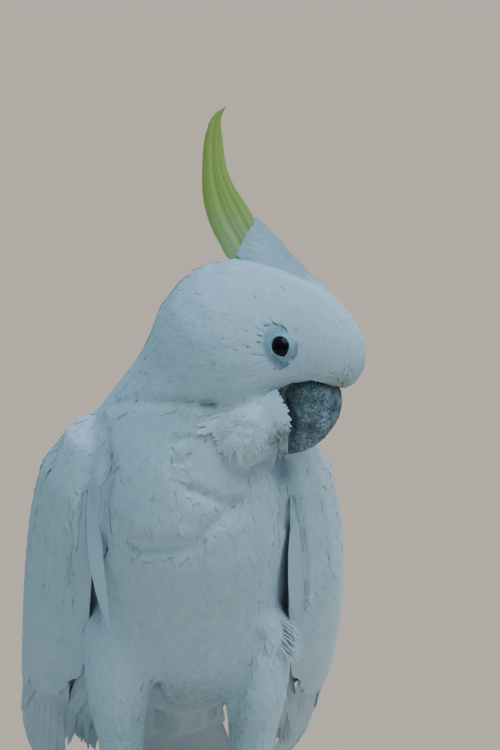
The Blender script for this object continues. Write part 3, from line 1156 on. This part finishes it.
# For each kind of flight feather: how many, where the roots stand along the wing, where the
# first root and tip stand across it and how far the last ones are from those, the tips along
# the wing at shares of their order, half width, how deep the first lies and the rest step, arch.
FLIGHT = [
    ("primaries", 8, 112.0, (-8, -31), (3, -1), ([0, 1], [280, 305]), 8.6, -1.5, -0.08, 0.12),
    ("secondaries", 9, 88.0, (22, -50), (15, -24), ([0, 0.5, 0.75, 1], [196, 226, 212, 186]),
     9.5, -0.4, -0.09, 0.15),
]
ALULA = dict(QUILL, profile=[0.4, 0.7, 0.88, 0.97, 1, 1, 0.97, 0.9, 0.76, 0.52, 0.14])
for side, word in ((1, "left"), (-1, "right")):
    pieces = []
    for number, (kind, count, root, foot, end, tips, broad, depth, step, arch) in enumerate(FLIGHT):
        order = np.linspace(0, 1, count)
        pieces.append(wing_vanes(
            f"{kind}_{word}", white_vane, side,
            np.stack([np.full(count, root), foot[0] + foot[1] * order], 1),
            np.stack([np.interp(order, *tips), end[0] + end[1] * order], 1), np.full(count, broad),
            (depth + step * np.arange(count))[:, None], thick=QUILL_THICK, arch=arch, seed=31 + number,
            quills=True, **QUILL))
    height = -1.9 * (1 - COVERT["shares"]) ** 1.3 + 0.1 * COVERT["shares"]
    pieces.append(wing_vanes(
        f"coverts_{word}", white_down, side, *covert_rows(30, 154, 33), height, thick=COVERT_THICK,
        arch=0.12, seed=34, fringe=0.25, **COVERT))
    pieces.append(wing_vanes(
        f"lining_{word}", white_down, side, *covert_rows(12, 120, 35, shrink=1.5), -height * 0.6,
        thick=COVERT_THICK, arch=-0.12, seed=36, fringe=0.25, inside=True, **COVERT))
    lead = np.arange(4)
    stand = 0.7 + 0.35 * lead if side > 0 else 0.55 + 0.25 * lead
    height = np.outer(stand, np.minimum(1, 2 * QUILL["shares"])) - 2.2 * (1 - QUILL["shares"]) ** 4
    pieces.append(wing_vanes(
        f"alula_{word}", white_vane, side, np.stack([8 + 4.0 * lead, -14 - 0.8 * lead], 1),
        np.stack([116 - 12.0 * lead, -46 + 1.0 * lead], 1), 7.4 - 0.5 * lead, height, thick=ALULA_THICK,
        arch=0.15, seed=38, splay=-5.0, edge_room=0.21, **ALULA))
    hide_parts(f"wing_{word}")

# ---- Tail -----------------------------------------------------------------------------------
# A short square fan of broad feathers, the middle pair on top, laid back to the ground. Soft
# coverts run on over its root from the rump and from under the belly.

TAIL_LENGTH = 185
TAIL_LINE = np.array([[0, 60, 78], [0, 132, 32], [0, 238, 2.9]], float)


def on_tail(length, across, height):
    length, across, height = np.broadcast_arrays(*(np.asarray(v, float) for v in (length, across, height)))
    share = length / TAIL_LENGTH
    heading = heading_of(TAIL_LINE, share)
    up = np.stack([np.zeros_like(share), -heading[..., 2], heading[..., 1]], axis=-1)
    place = bend_of(TAIL_LINE, share) + up * (height - 0.005 * across ** 2)[..., None]
    place[..., 0] = across
    return place, up


def tail_vanes(name, finish, start, stop, half, height, thick, arch, seed, shares, columns, profile,
               below=False, quills=False):
    """Feathers on the tail, each from one (length, across) place to another on its surface."""
    reach, way, spot, wide = from_ends(start, stop, half, profile, shares)
    out = -1 if below else 1
    grid = np.empty((len(reach), len(shares), len(columns), 3))
    for j, column in enumerate(columns):
        off = -out * column * wide
        grid[:, :, j], _ = on_tail(spot[..., 0] - way[:, None, 1] * off, spot[..., 1] + way[:, None, 0] * off,
                                   height - out * arch * column ** 2)
    _, up = on_tail(spot[..., 0], spot[..., 1], 0)
    grid[..., 2] = np.maximum(grid[..., 2], 0.15)
    bed = None if quills else bed_of(grid[:, 0, len(columns) // 2])
    return vanes(name, finish, grid, up * out, shares, columns, reach, wide, thick, bed=bed, seed=seed)


RECTRICES = 12
RECTRIX = dict(QUILL, profile=[0.3, 0.5, 0.7, 0.85, 0.95, 1, 1, 1, 0.97, 0.82, 0.4])
sway = np.linspace(-1, 1, RECTRICES)
outer = np.abs(sway)
level = (3.6 * (1 - outer) + 0.25 * (sway > 0))[:, None] - 0.2 * QUILL["shares"][None]
pieces = [tail_vanes("tail_feathers", white_vane, np.stack([np.zeros(RECTRICES), 8 * sway], 1),
                     np.stack([TAIL_LENGTH - 13 * outer ** 2, 25 * sway], 1), np.full(RECTRICES, 11.0),
                     level, thick=0.7, arch=0.8, seed=41, quills=True, **RECTRIX)]
chance = np.random.default_rng(43)
# The coverts above and below: how far they reach, how high their tips and roots lie, and how
# they close on the tail towards its end.
for name, below, reach, high, sunk, close in (("tail_coverts_above", False, 78, 4.6, -1.6, 0.012),
                                              ("tail_coverts_below", True, 96, -1.4, 1.6, -0.0072)):
    start, stop, half = [], [], []
    length, row = -8.0, 0
    while length < reach - 22:
        spread = 15 + 0.13 * length
        for place in np.arange(-spread + (row % 2) * 2.7, spread, 5.4):
            long = 24 + 0.22 * length
            start.append((length + chance.uniform(-1.5, 1.5), place))
            stop.append((start[-1][0] + long * chance.uniform(0.9, 1.1), place * 1.1))
            half.append(5.6)
        length += 6
        row += 1
    lie = high + sunk * (1 - COVERT["shares"]) ** 1.3
    pieces.append(tail_vanes(name, white_down, start, stop, half, lie[None] - close * np.array(start)[:, :1],
                             thick=COVERT_THICK, arch=0.2, seed=44 + below, below=below, **COVERT))
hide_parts("tail")

# ---- Crest ----------------------------------------------------------------------------------
# Thirteen narrow sulphur-yellow feathers rise from the crown and curve forward at the tip.
# White crown feathers run up over their foot and leave the yellow bare at the rear.

CREST_REAR = [(-34, 21), (-40, 24.5), (-46, 25.4), (-52.5, 30), (-59, 34.6), (-66.8, 42.8), (-72, 51.8),
              (-78.5, 66.8), (-81.8, 78.1), (-81.3, 83.5), (-77.3, 87.5)]  # (front, up) on the head
CREST_FRONT = [(-14, 29), (-29, 38), (-40.5, 44.2), (-47.5, 48.6), (-56.2, 53.4), (-64.2, 60), (-71, 70),
               (-75.7, 81), (-77.0, 87.5)]
FOOT_FRONT = [(6, 30.5), (-6.3, 33.4), (-17.7, 37.2), (-29.2, 42.2), (-41.5, 46.3)]
FOOT_REAR = [(-14, 27.5), (-22, 28.5), (-30, 29), (-37, 28.5), (-42.5, 28)]
FOOT_LAYERS = [(0.42, 1.0, 0.075), (0.3, 0.86, 0.085), (0.16, 0.68, 0.09), (0.04, 0.5, 0.1),
               (-0.04, 0.3, 0.11)]  # each starts and stops at shares of the way, so far apart


def on_line(corners, share):
    """Places along a line of corners, by share of its length."""
    corners = np.array(corners, float)
    run = np.append(0, np.cumsum(np.linalg.norm(np.diff(corners, axis=0), axis=1)))
    return np.stack([along(np.stack([run / run[-1], corners[:, i]], 1), share) for i in (0, 1)], -1)


QUILLS = 13
shares = np.linspace(0, 1, 16)
chance = np.random.default_rng(51)
ends = 1 - 0.2 * np.abs(np.linspace(-0.75, 0.9, QUILLS)) ** 1.4 * chance.uniform(0.6, 1.0, QUILLS)
line, half = [], []
for place, end in zip(np.linspace(0.13, 0.87, QUILLS), ends):
    behind, ahead_of = on_line(CREST_REAR, shares * end), on_line(CREST_FRONT, shares * end)
    line.append(behind * (1 - place) + ahead_of * place)
    broad = np.linalg.norm(behind - ahead_of, axis=1) * 0.125 + 0.7
    half.append(broad * np.interp(shares, [0, 0.86, 0.95, 1], [1, 1, 0.72, 0.12]))
line, half = np.array(line), np.array(half)
lean = np.where(np.arange(QUILLS) % 2, 1.0, -1.0) * chance.uniform(0.6, 1.6, QUILLS)
out = lean[:, None] * (1 - 0.6 * shares)
line = in_head(np.stack([line[..., 0], out, line[..., 1]], -1))
up = np.sign(lean)[:, None, None] * np.broadcast_to(HEAD_AXES[:, 1], line.shape)
crest = ribbons("crest_feathers", sulphur_vane, line, up, half, shares, thick=0.4, arch=0.3, strips=True,
                seed=51)
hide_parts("crest")

shares = COVERT["shares"]
line, half, facings = [], [], []
for facing in (-1, 1):
    for layer, (first, last, apart) in enumerate(FOOT_LAYERS):
        for place in np.arange(0.0, 1.001, apart):
            place = np.clip(place + chance.normal(0, 0.01), 0, 1)
            reach = np.clip(first + (last - first) * shares + chance.normal(0, 0.02), 0, 1.05)
            spots = on_line(FOOT_FRONT, reach) * (1 - place) + on_line(FOOT_REAR, reach) * place
            foot_width = np.sqrt(np.clip(1 - reach, 0, 1)) * math.sqrt(place)
            crown = 0.3 + 1.2 * ramp(0, 0.3, place) + 9.5 * foot_width
            over = crown + 0.14 * layer + 0.25 * shares - 0.6 * (1 - shares) ** 2
            line.append(np.stack([spots[:, 0], facing * over, spots[:, 1]], -1))
            half.append(np.array(COVERT["profile"]) * (1.5 + 0.9 * (1 - abs(2 * place - 1))))
            facings.append(facing)
line, half = in_head(np.array(line)), np.array(half)
up = np.array(facings)[:, None, None] * np.broadcast_to(HEAD_AXES[:, 1], line.shape)
ribbons("crest_foot", white_down, line, up, half, shares, thick=COVERT_THICK, arch=0.15, fringe=0.35,
        seed=53)

# ---- Feet and claws -------------------------------------------------------------------------
# Short grey legs and two toes forward, two back. The skin is cobbled with small round scales
# dusted with powder, and each toe ends in a curved dark claw of smooth horn.

# Scales are to the metre: scutes 1.6 mm across, dust in patches of 4 mm, grain of 2 mm.
SCUTES, DUST, GRAIN = 620.0, 240.0, 500.0
scale_finish, tree, shader = new_finish("scaled_foot_skin", Roughness=0.7)
place = node(tree, "TexCoord", {}, "Object")
seams = node(tree, "TexVoronoi", {"Vector": place, "Scale": SCUTES}, feature="DISTANCE_TO_EDGE")
seams = node(tree, "MapRange", {0: seams, 1: 0.0, 2: 0.2, 3: 0.0, 4: 1.0})
dust = node(tree, "TexNoise", {"Vector": place, "Scale": DUST, "Detail": 3.0})
dusty = node(tree, "Mix", {0: dust, 6: paint("#55595c"), 7: paint("#7d8386")}, 2, data_type="RGBA")
colour = node(tree, "Mix", {0: seams, 6: paint("#a9aeb0"), 7: dusty}, 2, data_type="RGBA")
finished(tree, shader, colour, seams, strength=0.8, depth=0.4)
claw_finish, tree, shader = new_finish("smooth_claw_horn", Roughness=0.36)
place = node(tree, "TexCoord", {}, "Object")
grain = node(tree, "TexNoise", {"Vector": place, "Scale": GRAIN, "Detail": 4.0})
colour = node(tree, "Mix", {0: grain, 6: paint("#26282a"), 7: paint("#4a4e51")}, 2, data_type="RGBA")
finished(tree, shader, colour, grain, strength=0.3, depth=0.2)
SCUTE_SIZE, SCUTE_HEIGHT = 1.7, 0.5
scales = bpy.data.textures.new("scales", "VORONOI")
scales.noise_scale = SCUTE_SIZE * MM
scales.distance_metric = "DISTANCE"
for word in ("left", "right"):
    foot = melted(f"foot_{word}_skin", f"foot_{word}", 0.6, 10)
    shaped(foot, "DISPLACE", texture=scales, texture_coords="LOCAL", strength=-SCUTE_HEIGHT * MM,
           mid_level=0.25)
    places = places_of(foot)
    places[:, 2] = np.maximum(places[:, 2], 0.02)
    move_to(foot, places)
    alone(foot)
    bpy.ops.object.shade_smooth()
    foot.data.materials.append(scale_finish)
    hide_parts(f"foot_{word}")
    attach(foot, "root")
    for toe in ("inner_front", "outer_front", "outer_rear", "inner_rear"):
        claw = melted(f"claw_{word}_{toe}_horn", f"claw_{word}_{toe}", 0.3, 8)
        alone(claw)
        bpy.ops.object.shade_smooth()
        claw.data.materials.append(claw_finish)
        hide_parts(f"claw_{word}_{toe}")
        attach(claw, "root")

# ---- Ground and light -----------------------------------------------------------------------
# A plain pale studio floor under broad soft light, brightest from above and the right like a
# window, with a weak warm light from behind.

bpy.ops.object.select_all(action="DESELECT")
bpy.ops.mesh.primitive_circle_add(vertices=128, radius=0.6, fill_type="NGON", location=(0, 0, 0))
ground = bpy.context.active_object
ground.name = ground.data.name = "ground"
ground_finish, tree, shader = new_finish("pale_floor_paint", Roughness=0.85)
place = node(tree, "TexCoord", {}, "Object")
grit = node(tree, "TexNoise", {"Vector": place, "Scale": 60.0})  # blotches of 17 mm
colour = node(tree, "Mix", {0: grit, 6: paint("#c9bfb4"), 7: paint("#cdc3b8")}, 2, data_type="RGBA")
tree.links.new(colour, shader.inputs["Base Color"])
ground.data.materials.append(ground_finish)

world = bpy.data.worlds.new("studio")
world.use_nodes = True
tree = world.node_tree
backdrop = tree.nodes["Background"]
backdrop.inputs["Color"].default_value = paint("#cfc4b8")
backdrop.inputs["Strength"].default_value = 0.95
upness = node(tree, "SeparateXYZ", {0: node(tree, "TexCoord", {}, "Generated")}, 2)
upness = node(tree, "MapRange", {0: upness, 1: -0.3, 2: 0.9})
sky = node(tree, "Mix", {0: upness, 6: paint("#5f7a6c"), 7: paint("#90c8ec")}, 2, data_type="RGBA")
sky = node(tree, "Background", {"Color": sky, "Strength": 0.67})
seen = node(tree, "LightPath", {}, "Is Camera Ray")
studio = node(tree, "MixShader", {0: seen, 1: sky, 2: backdrop.outputs[0]})
tree.links.new(studio, tree.nodes["World Output"].inputs["Surface"])
bpy.context.scene.world = world


def soft_light(name, angle_across, angle_up, strength, colour, spread):
    lamp = bpy.data.lights.new(name, "SUN")
    lamp.energy = strength
    lamp.angle = math.radians(spread)
    lamp.color = paint(colour)[:3]
    holder = bpy.data.objects.new(name, lamp)
    holder.rotation_euler = (math.radians(90 - angle_up), 0, math.radians(angle_across))
    bpy.context.collection.objects.link(holder)


soft_light("window_light", 28, 58, 2.3, "#c4e6fb", 50)
soft_light("warm_rim", 140, 28, 1.1, "#ffcfa0", 40)
